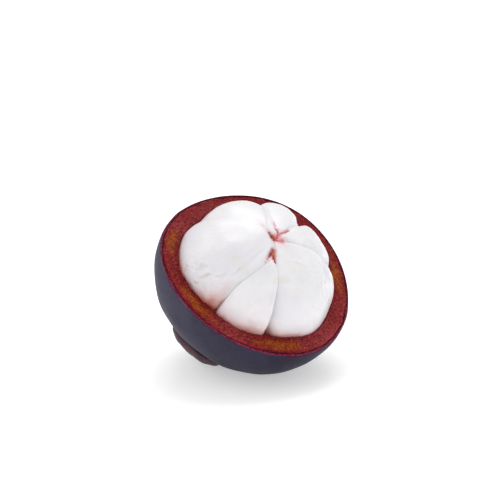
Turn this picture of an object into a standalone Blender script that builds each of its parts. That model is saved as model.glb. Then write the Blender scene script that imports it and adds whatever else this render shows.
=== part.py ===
"""Mangosteen opened round its middle: the stem-end rind cup with all of its white flesh standing in it.

The fruit is modelled upright in its own frame, with the calyx pole down and the opening up, and an
empty then leans it over on its side. Lengths are in metres and azimuths in degrees about the fruit's
axis; an azimuth of 270 is the side that the fruit lies on.
"""
import math

import bpy
import numpy as np
from mathutils import Matrix

# Body of the fruit
SKIN_RADIUS = 0.032
POLE_RATIO = 0.94            # half height over half width
SKIN_LOBES = ((2, 0.005, 21.0), (3, 0.028, 34.0), (4, 0.005, 36.5))    # count, depth, azimuth of a crest
LEAN = math.radians(38.4)    # the axis tips this far from upright, towards -Y
BELLY_DIP = 0.00025          # how much of the skin the resting spot flattens
GAP = 0.0003                 # clearance between neighbouring pieces

# The cut through the rind
CUT_HEIGHT = 0.0024          # above the widest part
LIP = 0.0005                 # rounding where the skin and the pocket meet the cut face
LIP_MIDWAY = 0.3             # share of the lip, in and down, of the point that rounds it
FACE_DISH = 0.0004           # the cut face sinks this far between its two edges
FACE_SHARES = (0.35, 0.7)    # where the dish's rings lie, from the skin to the pocket

# The ball of flesh, and the lines that part it into segments
FLESH_RADIUS = 0.0265
FLESH_HALF_HEIGHT = 0.0184
FLESH_CENTRE = np.array((0.0, 0.0, -0.0003))
CROWN_MIDDLE = np.array((-0.0001, 0.0009))     # where four segments meet
CROWN_SIDE = np.array((-0.0048, -0.0062))      # where the two largest meet the front wedge
SEAM_AZIMUTHS = {"back": 65.0, "right": 27.0, "far": 344.0, "near": 245.5, "left": 205.0}
WALL_POWER = 20.0            # of the mean that rounds the corner between two seam walls
CROWN_ROUNDING = 0.0007      # of the edges between the ball and the seams, at the crown
# where a seam bows out of its plane: place in plan, how far the bow spreads, and its shift
SEAM_BOWS = (((0.0006, 0.0085), 0.0062, (-0.0030, 0.0012)),
             ((0.0065, 0.0030), 0.0040, (0.0002, -0.0005)),
             ((0.0060, -0.0020), 0.0050, (-0.0002, -0.0007)),
             ((-0.0066, -0.0120), 0.0045, (0.0009, -0.0003)))
BOW_ROUNDS = 6               # repeats that settle where a ray meets a bowed seam
# furrows down the outside of the flesh: azimuth, depth as a share of the radius, width in degrees, and
# the power of their fading towards the crown
FURROWS = ((116.0, 0.145, 14.0, 2.0), (68.0, 0.055, 6.0, 1.0), (27.7, 0.160, 5.0, 1.0),
           (344.0, 0.070, 8.0, 1.0),
           (193.0, 0.045, 10.0, 1.0), (203.0, 0.050, 4.0, 1.0))

# Each segment: size against the ball, rounding of its flanks, the plan position of its heart, and the
# bulge of its outside by azimuth, width in degrees and height
SEGMENTS = {
    "aril_segment_1": dict(size=1.005, rounding=0.0018, heart=(-0.011, 0.009), bulge=(166.0, 9.0, 0.0007),
                           columns=38, rings=19,
                           seams=(("middle", "back"), ("middle", "side"), ("side", "left"))),
    "aril_segment_2": dict(size=0.985, rounding=0.0016, heart=(0.012, 0.012), bulge=(48.0, 11.0, 0.0019),
                           columns=28, rings=18, seams=(("middle", "back"), ("middle", "right"))),
    "aril_segment_3": dict(size=0.99, rounding=0.0024, heart=(0.015, 0.0015), bulge=(12.0, 8.0, 0.0004),
                           columns=28, rings=18, seams=(("middle", "right"), ("middle", "far"))),
    "aril_segment_4": dict(size=0.966, rounding=0.0026, heart=(0.008, -0.012), bulge=(284.0, 16.0, 0.0013),
                           columns=36, rings=19,
                           seams=(("middle", "far"), ("middle", "side"), ("side", "near"))),
    "aril_segment_5": dict(size=0.965, rounding=0.0013, heart=(-0.0115, -0.0130), bulge=(229.0, 9.0, 0.0005),
                           columns=28, rings=18, seams=(("side", "near"), ("side", "left"))),
}
WIDEST_SEGMENT = max(segment["size"] for segment in SEGMENTS.values())

# Pocket of the rind round the flesh
POCKET_CLEARANCE = 0.0007
POCKET_CORE = 0.9            # least width of the pocket at its mouth, as a share of the ball of flesh
POCKET_PLAIN_BELOW = 0.45    # sine of the slope below which the pocket is a plain bowl
POCKET_SEARCH = (0.4, 1.15)  # shares of the ball's radius between which the wall is looked for
POCKET_STEPS = 151
POCKET_SOFTNESS = 0.0006     # rounds the rind's ridges where they reach into the seams

# Stem: a waisted stub, by share of its length from the calyx pole and width over its radius
STEM_RADIUS = 0.0034
STEM_LENGTH = 0.0072
STEM_FLARE = 1.14
STEM_SQUARENESS = 0.03
STEM_PROFILE = ((1.0, 0.90), (0.97, STEM_FLARE), (0.84, 1.08), (0.55, 0.94), (0.25, 0.97), (0.0, 1.06))

# Calyx lobes
RIM_THICK = 0.0008
RIM_POWER = 3.0              # of the crowned section: higher is flatter on top and steeper at the rim
FOOT_SPREAD = 0.80           # half width over distance from the pole, near the stem
FOOT_THIN = 0.55             # thickness at the foot, as a share of the whole
FOOT_THICKENS = 2.0          # share of the thickness gained for each whole length of the lobe
TIP_STARTS = 0.42            # share of the way along where the sides start to close to the tip
TIP_POWER = 3.2              # of the closing sides: higher is blunter
TIP_THINS_POWER = 6.0        # of the thinning towards the tip: higher is later
CURL_POWER = 3.0             # of the lift towards the tip
# azimuth, reach from the pole, half width, thickness, height of the foot off the skin, lift of the tip
SEPALS = {
    "sepal_outer_left": dict(azimuth=201.0, reach=0.0228, half_width=0.0108, thick=0.0029, bed=0.0002,
                             curl=0.0001),
    "sepal_outer_right": dict(azimuth=32.0, reach=0.0225, half_width=0.0110, thick=0.0030, bed=0.0006,
                              curl=0.0016),
    "sepal_inner_back": dict(azimuth=118.0, reach=0.0215, half_width=0.0100, thick=0.0028, bed=0.0,
                             curl=0.0010),
    "sepal_inner_under": dict(azimuth=312.0, reach=0.0175, half_width=0.0078, thick=0.0024, bed=0.0,
                              curl=0.0),
}

# Mesh fineness
COLUMNS = 80
SKIN_RINGS = 13
POCKET_RINGS = 10
TURNING_WEIGHT = 1.0
STEM_SIDES = 24
SEPAL_SIDES = 18
SEPAL_RINGS = 11


def directions(azimuth, elevation):
    """Unit vectors from azimuth and elevation, both in radians."""
    return np.stack((np.cos(elevation) * np.cos(azimuth),
                     np.cos(elevation) * np.sin(azimuth),
                     np.sin(elevation) * np.ones_like(azimuth)), axis=-1)


def bell(azimuth, middle, width):
    """One at the middle azimuth, falling off as a bell whose width is in degrees."""
    turn = (np.degrees(azimuth) - middle + 180.0) % 360.0 - 180.0
    return np.exp(-(turn / width) ** 2)


def lobes(azimuth):
    """Factor on the fruit's radius: a round fruit with a few broad, shallow lobes."""
    factor = np.ones_like(azimuth)
    for count, depth, crest in SKIN_LOBES:
        factor = factor + depth * np.cos(count * (azimuth - math.radians(crest)))
    return factor


def skin_point(azimuth, latitude, proud=0.0):
    """A point of the skin's lobed ellipsoid, or one that stands proud of it along the radius."""
    ring = SKIN_RADIUS * lobes(azimuth) * np.cos(latitude)
    point = np.stack((ring * np.cos(azimuth), ring * np.sin(azimuth),
                      SKIN_RADIUS * POLE_RATIO * np.sin(latitude) * np.ones_like(azimuth)), axis=-1)
    length = np.linalg.norm(point, axis=-1, keepdims=True)
    return point * (1.0 + np.asarray(proud)[..., None] / length)


def seam_walls(segment):
    """The upright planes that bound a segment: outward normal in plan, and distance from its heart."""
    crown = {"middle": CROWN_MIDDLE, "side": CROWN_SIDE}
    heart = np.array(segment["heart"])
    walls = []
    for start, end in segment["seams"]:
        first = crown[start]
        if end in crown:
            second = crown[end]
        else:
            angle = math.radians(SEAM_AZIMUTHS[end])
            second = FLESH_RADIUS * np.array((math.cos(angle), math.sin(angle)))
        along = (second - first) / np.linalg.norm(second - first)
        normal = np.array((along[1], -along[0]))
        if np.dot(heart - first, normal) > 0.0:
            normal = -normal
        walls.append((normal, np.dot(first - heart, normal) - GAP / 2.0))
    return walls


def bowed_distance(heart, way, normal, distance):
    """Distance of a seam wall along its normal where each ray meets it, with the bows of the seams added."""
    towards = np.maximum(way[..., 0] * normal[0] + way[..., 1] * normal[1], 1e-3)
    bowed = np.full(towards.shape, distance)
    for _ in range(BOW_ROUNDS):
        length = np.minimum(bowed / towards, 2.0 * FLESH_RADIUS)
        met = heart[:2] + way[..., :2] * length[..., None]
        bowed = np.full(towards.shape, distance)
        for place, spread, shift in SEAM_BOWS:
            away = np.sum((met - np.array(place)) ** 2, axis=-1)
            bowed = bowed + np.dot(normal, shift) * np.exp(-away / spread ** 2)
    return bowed


def ball_reach(start, way, size):
    """Distance from a point inside the flesh ball to its surface, along unit vectors."""
    scale = 1.0 / np.array((FLESH_RADIUS * size, FLESH_RADIUS * size, FLESH_HALF_HEIGHT))
    offset = (start - FLESH_CENTRE) * scale
    slope = way * scale
    a = np.sum(slope * slope, axis=-1)
    b = np.sum(slope * offset, axis=-1)
    return (-b + np.sqrt(b * b - a * (np.dot(offset, offset) - 1.0))) / a


def segment_heart(segment):
    return np.array((segment["heart"][0], segment["heart"][1], FLESH_CENTRE[2]))


def segment_reach(name, way):
    """Distance from a segment's heart to its surface, along unit vectors.

    It is a soft minimum of the ball and of the seam walls: a power mean whose power grows with the
    distance, so that the rounding of the edge between them has the same size all along it.
    """
    segment = SEGMENTS[name]
    heart = segment_heart(segment)
    ball = ball_reach(heart, way, segment["size"])
    outer = heart + way * ball[..., None]
    azimuth = np.arctan2(outer[..., 1], outer[..., 0])
    outwards = np.clip(np.hypot(outer[..., 0], outer[..., 1]) / FLESH_RADIUS, 0.0, 1.0)
    for place, depth, width, power in FURROWS:
        ball = ball * (1.0 - depth * outwards ** power * bell(azimuth, place, width))
    middle, width, bulge = segment["bulge"]
    ball = ball + bulge * outwards ** 2 * bell(azimuth, middle, width)
    walls = np.zeros_like(ball)
    for normal, distance in seam_walls(segment):
        towards = way[..., 0] * normal[0] + way[..., 1] * normal[1]
        bowed = bowed_distance(heart, way, normal, distance)
        walls = walls + (np.maximum(towards, 0.0) * ball / bowed) ** WALL_POWER
    rounding = CROWN_ROUNDING + (segment["rounding"] - CROWN_ROUNDING) * (1.0 - way[..., 2] ** 2)
    power = ball / rounding
    return ball * (1.0 + walls ** (power / WALL_POWER)) ** (-1.0 / power)


def pocket_reach(way):
    """Distance from the flesh centre to the pocket wall, along unit vectors.

    The wall lies where a ray leaves a rounded blend of the segments, grown by the clearance, and of a
    ball that is smaller near the mouth, where the wall reaches into the seams, and whole further down.
    Each ray is sampled at even steps, and the crossing is read between its last inner step and the next.
    """
    steps = np.linspace(*POCKET_SEARCH, POCKET_STEPS) * FLESH_RADIUS
    point = FLESH_CENTRE + way[..., None, :] * steps[:, None]
    depth = np.clip(-way[..., 2] / POCKET_PLAIN_BELOW, 0.0, 1.0)
    core = ball_reach(FLESH_CENTRE, way, WIDEST_SEGMENT) * (POCKET_CORE + (1.0 - POCKET_CORE) * depth)
    core = core + POCKET_CLEARANCE * depth
    blend = np.exp(np.clip((core[..., None] - steps) / POCKET_SOFTNESS, -40.0, 40.0))
    for name, segment in SEGMENTS.items():
        from_heart = point - segment_heart(segment)
        length = np.linalg.norm(from_heart, axis=-1)
        outside = length - segment_reach(name, from_heart / length[..., None]) - POCKET_CLEARANCE
        blend = blend + np.exp(-np.clip(outside / POCKET_SOFTNESS, -40.0, 40.0))
    level = np.log(blend)
    last_inner = POCKET_STEPS - 1 - np.argmax(level[..., ::-1] > 0.0, axis=-1)[..., None]
    inner = np.take_along_axis(level, last_inner, axis=-1)[..., 0]
    outer = np.take_along_axis(level, last_inner + 1, axis=-1)[..., 0]
    return steps[last_inner[..., 0]] + (steps[1] - steps[0]) * inner / (inner - outer)


def pocket_wall(azimuth, elevation):
    """Pocket reach at each column: the widest of three close rays, so no facet cuts into the flesh."""
    spread = math.pi / COLUMNS
    return np.max([pocket_reach(directions(azimuth + turn, elevation))
                   for turn in (-spread, 0.0, spread)], axis=0)


def to_world(points, height):
    """Fruit frame to the leaning pose, with the body centre at a height above the ground."""
    lean = np.array(Matrix.Rotation(LEAN, 3, "X"))
    return points @ lean.T + np.array((0.0, 0.0, height))


def press_on_ground(points, height):
    """Lift whatever would sink below the ground onto it, and give the points back in the fruit frame."""
    lean = np.array(Matrix.Rotation(LEAN, 3, "X"))
    world = to_world(points, height)
    world[..., 2] = np.maximum(world[..., 2], 0.0)
    return (world - np.array((0.0, 0.0, height))) @ lean


def body_height():
    """Height of the body centre that sinks the lowest skin by the belly's dip."""
    azimuth = np.radians(np.linspace(180.0, 360.0, 181))[:, None]
    latitude = np.radians(np.linspace(-90.0, 0.0, 181))[None, :] * np.ones_like(azimuth)
    lowest = to_world(skin_point(azimuth * np.ones_like(latitude), latitude), 0.0)[..., 2].min()
    return -lowest - BELLY_DIP


def add_object(name, mesh, collection, material):
    mesh.materials.append(material)
    mesh.shade_smooth()
    mesh.set_sharp_from_angle(angle=math.radians(50.0))
    piece = bpy.data.objects.new(name, mesh)
    collection.objects.link(piece)
    return piece


def principled(name, colour, roughness):
    material = bpy.data.materials.new(name)
    material.use_nodes = True
    shader = material.node_tree.nodes["Principled BSDF"]
    shader.inputs["Base Color"].default_value = (*colour, 1.0)
    shader.inputs["Roughness"].default_value = roughness
    return material


def loft(name, first_pole, rings, last_pole):
    """Join closed rings of equal length, one to the next, and close both ends at a pole."""
    count = len(rings[0])
    points = np.concatenate([[first_pole], *rings, [last_pole]])
    column = np.arange(count)
    following = (column + 1) % count
    faces = [(0, 1 + b, 1 + a) for a, b in zip(column, following)]
    for ring in range(len(rings) - 1):
        low = 1 + ring * count
        high = low + count
        faces += [(low + a, low + b, high + b, high + a) for a, b in zip(column, following)]
    last = len(points) - 1
    top = 1 + (len(rings) - 1) * count
    faces += [(top + a, top + b, last) for a, b in zip(column, following)]
    mesh = bpy.data.meshes.new(name)
    mesh.from_pydata([tuple(p) for p in points], [], [tuple(int(i) for i in f) for f in faces])
    mesh.update()
    return mesh


def cut_radii(azimuth):
    """Radius of the skin and of the pocket where the cut plane crosses them."""
    latitude = math.asin(CUT_HEIGHT / (SKIN_RADIUS * POLE_RATIO))
    outer = SKIN_RADIUS * lobes(azimuth) * math.cos(latitude)
    rise = CUT_HEIGHT - FLESH_CENTRE[2]
    inner = np.full_like(azimuth, FLESH_RADIUS)
    for _ in range(4):
        elevation = np.arctan2(rise, inner)
        inner = pocket_wall(azimuth, elevation) * np.cos(elevation)
    return outer, inner


def rind_mesh(height):
    """One closed loft: up the skin from the calyx pole, over the cut face, and down the pocket."""
    azimuth = np.linspace(0.0, 2.0 * math.pi, COLUMNS, endpoint=False)
    outer, inner = cut_radii(azimuth)
    below_lip = math.asin((CUT_HEIGHT - LIP) / (SKIN_RADIUS * POLE_RATIO))
    latitudes = np.linspace(-math.pi / 2.0, below_lip, SKIN_RINGS + 1)[1:]
    rings = [skin_point(azimuth, np.full_like(azimuth, latitude)) for latitude in latitudes]

    def level_ring(radius, level):
        return np.stack((radius * np.cos(azimuth), radius * np.sin(azimuth),
                         np.full_like(azimuth, level)), axis=-1)

    rings.append(level_ring(outer - LIP_MIDWAY * LIP, CUT_HEIGHT - LIP_MIDWAY * LIP))
    rings.append(level_ring(outer - LIP, CUT_HEIGHT))
    for share in FACE_SHARES:
        radius = outer + (inner - outer) * share
        rings.append(level_ring(radius, CUT_HEIGHT - FACE_DISH))
    rings.append(level_ring(inner + LIP, CUT_HEIGHT))
    rings.append(level_ring(inner + LIP_MIDWAY * LIP, CUT_HEIGHT - LIP_MIDWAY * LIP))

    mouth = np.arctan2(CUT_HEIGHT - LIP - FLESH_CENTRE[2], inner)
    for share in np.linspace(0.0, 1.0, POCKET_RINGS + 1)[:-1]:
        elevation = mouth + (-math.pi / 2.0 - mouth) * share
        wall = pocket_wall(azimuth, elevation)
        rings.append(FLESH_CENTRE + directions(azimuth, elevation) * wall[:, None])
    floor_way = np.array((0.0, 0.0, -1.0))
    pocket_floor = FLESH_CENTRE + floor_way * pocket_reach(floor_way[None, :])[0]
    calyx_pole = np.array((0.0, 0.0, -SKIN_RADIUS * POLE_RATIO))
    return loft("rind", calyx_pole, [press_on_ground(ring, height) for ring in rings], pocket_floor)


def shared_out(values, points, count, closed):
    """Parameter values that share a polyline's length and turning out evenly over a number of steps.

    values and points run along the second last axis of points; turning counts so that creases keep
    their edge. A closed line leaves out its repeated end.
    """
    steps = np.diff(points, axis=-2)
    lengths = np.linalg.norm(steps, axis=-1)
    ways = steps / np.maximum(lengths, 1e-9)[..., None]
    cosines = np.clip(np.sum(ways[..., 1:, :] * ways[..., :-1, :], axis=-1), -1.0, 1.0)
    turning = np.concatenate((np.zeros_like(cosines[..., :1]), np.arccos(cosines)), axis=-1)
    weight = lengths / lengths.sum(axis=-1, keepdims=True)
    weight = weight + TURNING_WEIGHT * turning / turning.sum(axis=-1, keepdims=True)
    travelled = np.concatenate((np.zeros_like(weight[..., :1]), np.cumsum(weight, axis=-1)), axis=-1)
    travelled = travelled / travelled[..., -1:]
    wanted = np.linspace(0.0, 1.0, count + 1)
    if closed:
        wanted = wanted[:-1]
    rows = [np.interp(wanted, line, values) for line in travelled.reshape(-1, travelled.shape[-1])]
    return np.array(rows).reshape(travelled.shape[:-1] + (len(wanted),))


def segment_mesh(name):
    """A loft of rings round the segment's heart, closer together where its surface bends."""
    segment = SEGMENTS[name]
    heart = segment_heart(segment)
    around = np.linspace(0.0, 2.0 * math.pi, 721)
    level = directions(around, np.zeros_like(around))
    outline = level * segment_reach(name, level)[:, None]
    azimuth = shared_out(around, outline, segment["columns"], closed=True)

    over = np.linspace(-math.pi / 2.0, math.pi / 2.0, 361)
    ways = directions(azimuth[:, None] * np.ones_like(over), over * np.ones((len(azimuth), 1)))
    profiles = ways * segment_reach(name, ways)[..., None]
    elevation = shared_out(over, profiles, segment["rings"], closed=False)
    ways = directions(azimuth[:, None] * np.ones_like(elevation), elevation)
    points = heart + ways * segment_reach(name, ways)[..., None]
    rings = [points[:, ring] for ring in range(1, segment["rings"])]
    return loft(name, points[0, 0], rings, points[0, -1])


def sepal_mesh(name, height):
    """A thick rounded lobe laid on the skin: a loft of flat lens sections from the stem to the tip.

    It widens quickly from its foot and ends in a broad round tip. Each section is flat below, where it
    lies on the skin, and crowned above, and thins to its rim. The tip lifts by a power of the way along.
    """
    sepal = SEPALS[name]
    root = STEM_RADIUS * STEM_FLARE + GAP
    angle = np.linspace(0.0, 2.0 * math.pi, SEPAL_SIDES, endpoint=False)

    def section(share):
        along = root + (sepal["reach"] - root) * share
        width = ((FOOT_SPREAD * along) ** -4.0 + sepal["half_width"] ** -4.0) ** -0.25
        closing = max(0.0, (share - TIP_STARTS) / (1.0 - TIP_STARTS)) ** TIP_POWER
        across = width * math.sqrt(1.0 - closing) * np.cos(angle)
        crowned = np.sqrt(1.0 - np.abs(np.cos(angle)) ** RIM_POWER)
        ends = min(1.0, FOOT_THIN + FOOT_THICKENS * share) * math.sqrt(1.0 - share ** TIP_THINS_POWER)
        thick = sepal["thick"] * ends
        upper_side = np.arange(SEPAL_SIDES) <= SEPAL_SIDES // 2
        proud = GAP + sepal["bed"] * (1.0 - share) + sepal["curl"] * share ** CURL_POWER
        proud = proud + upper_side * (thick * crowned + RIM_THICK / 2.0)
        azimuth = math.radians(sepal["azimuth"]) - np.arctan2(across, along)
        latitude = np.hypot(along, across) / (SKIN_RADIUS * POLE_RATIO) - math.pi / 2.0
        return press_on_ground(skin_point(azimuth, latitude, proud), height)

    shares = (1.0 - np.cos(np.linspace(0.0, math.pi, SEPAL_RINGS + 2))) / 2.0
    rings = [section(share) for share in shares[1:-1]]
    foot = section(0.0).mean(axis=0)
    tip = section(1.0).mean(axis=0)
    return loft(name, foot, rings, tip)


def stem_mesh(height):
    """A short woody stub below the pole: a loft of slightly four-sided rings."""
    azimuth = np.linspace(0.0, 2.0 * math.pi, STEM_SIDES, endpoint=False)
    top = -SKIN_RADIUS * POLE_RATIO - GAP
    rings = []
    for share, width in STEM_PROFILE:
        radius = STEM_RADIUS * width * (1.0 + STEM_SQUARENESS * np.cos(4.0 * azimuth))
        ring = np.stack((radius * np.cos(azimuth), radius * np.sin(azimuth),
                         np.full_like(azimuth, top - STEM_LENGTH * share)), axis=-1)
        rings.append(press_on_ground(ring, height))
    return loft("stem", np.mean(rings[0], axis=0), rings, np.mean(rings[-1], axis=0))


def main():
    for leftover in list(bpy.data.objects):
        bpy.data.objects.remove(leftover, do_unlink=True)

    collection = bpy.data.collections.new("mangosteen")
    bpy.context.scene.collection.children.link(collection)

    skin = principled("rind_skin", (0.072, 0.060, 0.098), 0.5)
    flesh = principled("aril_white", (0.86, 0.84, 0.85), 0.35)
    calyx = principled("sepal_leather", (0.13, 0.055, 0.045), 0.6)
    wood = principled("stem_wood", (0.24, 0.17, 0.055), 0.7)

    height = body_height()
    pieces = [add_object("rind", rind_mesh(height), collection, skin)]
    for name in SEGMENTS:
        pieces.append(add_object(name, segment_mesh(name), collection, flesh))
    for name in SEPALS:
        pieces.append(add_object(name, sepal_mesh(name, height), collection, calyx))
    pieces.append(add_object("stem", stem_mesh(height), collection, wood))

    corners = np.concatenate([[vertex.co for vertex in piece.data.vertices] for piece in pieces])
    world = to_world(corners, height)
    middle = (world.min(axis=0) + world.max(axis=0)) / 2.0
    stance = bpy.data.objects.new("stance", None)
    stance.location = (-middle[0], -middle[1], height)
    stance.rotation_euler = (LEAN, 0.0, 0.0)
    collection.objects.link(stance)
    for piece in pieces:
        piece.parent = stance
    bpy.context.view_layer.update()


main()
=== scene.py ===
"""Looks of the mangosteen: a fruit opened round its middle and leaning over, its white flesh in the rind.

Shapes are worked out in the fruit's own frame, with the stem pole down and the opening up, lengths in
metres and azimuths in degrees about its axis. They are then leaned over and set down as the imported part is.
"""
import math

import bpy
import numpy as np
from mathutils import Matrix, Vector


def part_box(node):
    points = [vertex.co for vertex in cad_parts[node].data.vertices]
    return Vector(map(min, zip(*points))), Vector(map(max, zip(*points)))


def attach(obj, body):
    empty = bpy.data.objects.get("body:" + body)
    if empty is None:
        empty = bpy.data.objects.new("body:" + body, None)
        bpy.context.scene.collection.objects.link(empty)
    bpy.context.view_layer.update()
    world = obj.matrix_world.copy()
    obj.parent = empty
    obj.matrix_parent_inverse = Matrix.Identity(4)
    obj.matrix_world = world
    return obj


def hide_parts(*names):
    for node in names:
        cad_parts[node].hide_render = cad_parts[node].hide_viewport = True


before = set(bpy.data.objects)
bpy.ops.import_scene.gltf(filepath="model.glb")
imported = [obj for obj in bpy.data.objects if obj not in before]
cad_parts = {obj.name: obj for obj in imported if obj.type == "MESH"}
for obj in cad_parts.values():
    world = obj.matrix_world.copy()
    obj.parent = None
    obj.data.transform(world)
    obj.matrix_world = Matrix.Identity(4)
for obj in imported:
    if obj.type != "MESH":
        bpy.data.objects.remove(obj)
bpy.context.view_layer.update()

# Body of the fruit
SKIN_RADIUS = 0.032
POLE_RADIUS = SKIN_RADIUS * 0.94
SKIN_LOBES = ((2, 0.005, 21.0), (3, 0.028, 34.0), (4, 0.005, 36.5))  # count, depth, azimuth of a crest
LEAN = math.radians(38.4)
BELLY_DIP = 0.00025
SKIN_DENT = 0.00010  # of the broad unevenness of the skin
SKIN_DENT_SIZE = 0.012
BLOOM_AND_LIGHT_AZIMUTH = 160.0  # the waxy bloom and painted light on the lit side make the skin palest on this side
BLOOM_AND_LIGHT_WIDTH = 62.0
BLOOM_AND_LIGHT_AT_POLE = 0.35
BLOOM_AND_LIGHT_CLIMB = (0.25, 0.9)  # where on the way up the skin the bloom and the painted light come in

# The cut through the rind
CUT_HEIGHT = 0.0024
CUT_WAVER = 0.00022  # the knife's unevenness
CUT_WAVER_SIZE = 1.6  # over the fruit's radius
LIP = 0.0005  # radius of the round at both edges of the face
FACE_DISH = 0.0004
GROOVE_IN = 0.00062  # a fine dark groove runs this far in from the skin
GROOVE_WIDTH = 0.00022
GROOVE_DEPTH = 0.00026
GROOVE_WANDER = ((0.00016, 0.006, 11, 28), (0.00006, 0.0012, 14, 28))  # height, size, seed, waves
GRAIN_DEPTH = 0.00009  # of the torn grain of the cut rind
GRAIN = ((1.0, 0.0011, 12, 40), (0.8, 0.0026, 13, 30))  # share, size, seed, waves
GRAIN_STARTS = (0.0003, 0.0016)  # distances from the skin where it comes in
# patches of colour on the cut face: middle azimuth, width in degrees and strength
OCHRE_PATCHES = ((145.0, 12.0, 0.95), (195.0, 15.0, 0.9), (254.0, 17.0, 1.0), (344.0, 16.0, 0.95),
                 (95.0, 22.0, 0.25))
ROSY_PATCHES = ((108.0, 12.0, 0.45), (131.0, 8.0, 0.7), (222.0, 15.0, 0.9), (287.0, 19.0, 1.0),
                (316.0, 10.0, 0.5))
OCHRE_MIDDLE = 0.56  # share of the way from the skin to the pocket
OCHRE_WIDTH = 0.33
ROSY_FADES = 0.2  # by this much from the skin to the pocket
FAR_FROM_SKIN_MM = 9.0  # stands for any distance in the pocket

# The ball of flesh and the lines that part it
FLESH_RADIUS = 0.0265
FLESH_HALF_HEIGHT = 0.0184
FLESH_CENTRE = np.array((0.0, 0.0, -0.0003))
SEAM_AZIMUTHS = {"back": 65.0, "right": 27.0, "far": 344.0, "near": 245.5, "left": 205.0}
SEAM_ENDS = {"middle": np.array((-0.0001, 0.0009)), "side": np.array((-0.0048, -0.0062))}
for name, azimuth in SEAM_AZIMUTHS.items():
    turn = math.radians(azimuth)
    SEAM_ENDS[name] = FLESH_RADIUS * np.array((math.cos(turn), math.sin(turn)))
# how far neighbours press into each other along a seam, and between which shares of the flesh's radius that
# fades to nothing
SEAM_OVERLAPS = {"back": (0.0030, 0.70, 0.95), "right": (0.0006, 0.50, 0.85), "far": (0.0010, 0.50, 0.85),
                 "side": (0.0018, 0.50, 0.85), "near": (0.0013, 0.80, 0.97), "left": (0.0011, 0.80, 0.97)}
WALL_POWER = 20.0
BOW_ROUNDS = 6
CROWN_ROUNDING = 0.0007
# furrows down the outside of the flesh: azimuth, depth over the radius, width in degrees, power of the fading
FURROWS = ((116.0, 0.145, 14.0, 2.0), (68.0, 0.055, 6.0, 1.0), (27.7, 0.160, 5.0, 1.0),
           (344.0, 0.070, 8.0, 1.0), (193.0, 0.045, 10.0, 1.0), (203.0, 0.050, 4.0, 1.0))
# where a seam bows out of its plane: place in plan, how far the bow spreads, and its shift
SEAM_BOWS = (((0.0006, 0.0085), 0.0062, (-0.0030, 0.0012)),
             ((0.0065, 0.0030), 0.0040, (0.0002, -0.0005)),
             ((0.0060, -0.0020), 0.0050, (-0.0002, -0.0007)),
             ((-0.0066, -0.0120), 0.0045, (0.0009, -0.0003)))
SEGMENTS = {
    "aril_segment_1": dict(size=1.005, rounding=0.0018, heart=(-0.011, 0.009), bulge=(166.0, 9.0, 0.0007),
                           seams=(("middle", "back"), ("middle", "side"), ("side", "left"))),
    "aril_segment_2": dict(size=0.985, rounding=0.0016, heart=(0.012, 0.012), bulge=(48.0, 11.0, 0.0019),
                           seams=(("middle", "back"), ("middle", "right"))),
    "aril_segment_3": dict(size=0.99, rounding=0.0024, heart=(0.015, 0.0015), bulge=(12.0, 8.0, 0.0004),
                           seams=(("middle", "right"), ("middle", "far"))),
    "aril_segment_4": dict(size=0.966, rounding=0.0026, heart=(0.008, -0.012), bulge=(284.0, 16.0, 0.0013),
                           seams=(("middle", "far"), ("middle", "side"), ("side", "near"))),
    "aril_segment_5": dict(size=0.965, rounding=0.0011, heart=(-0.0115, -0.0130), bulge=(229.0, 9.0, 0.0005),
                           seams=(("side", "near"), ("side", "left"))),
}
WIDEST_SEGMENT = max(segment["size"] for segment in SEGMENTS.values())

# Pocket of the rind round the flesh
POCKET_CLEARANCE = 0.00025
POCKET_CORE = 0.9
POCKET_PLAIN_BELOW = 0.45
POCKET_SEARCH = (0.6, 1.15)
POCKET_STEPS = 91
POCKET_SOFTNESS = 0.0005
POCKET_RING_POWER = 1.6  # crowds the rings towards the mouth
EDGE_ROUNDS = 4

# Relief of the flesh
FLESH_SEED = 20
SEEDS_A_SEGMENT = 5
LUMP_HEIGHT = 0.00016
LUMP_SIZE = 0.010
STRANDS = ((0.000014, 0.0012, 1, 40), (0.000024, 0.0030, 2, 30))  # height, size, step of the seed, waves
STRAND_STRETCH = 0.16  # draws them out from the base to the crown
CROWN_EDGE = (0.010, 0.020)  # distances from the axis between which the strands come in
RELIEF_RISES = (-0.3, 0.0)  # upward shares of a ray between which the relief comes in
TOP_SIDE = (0.2, 0.5)  # and the crown's marks

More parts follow.
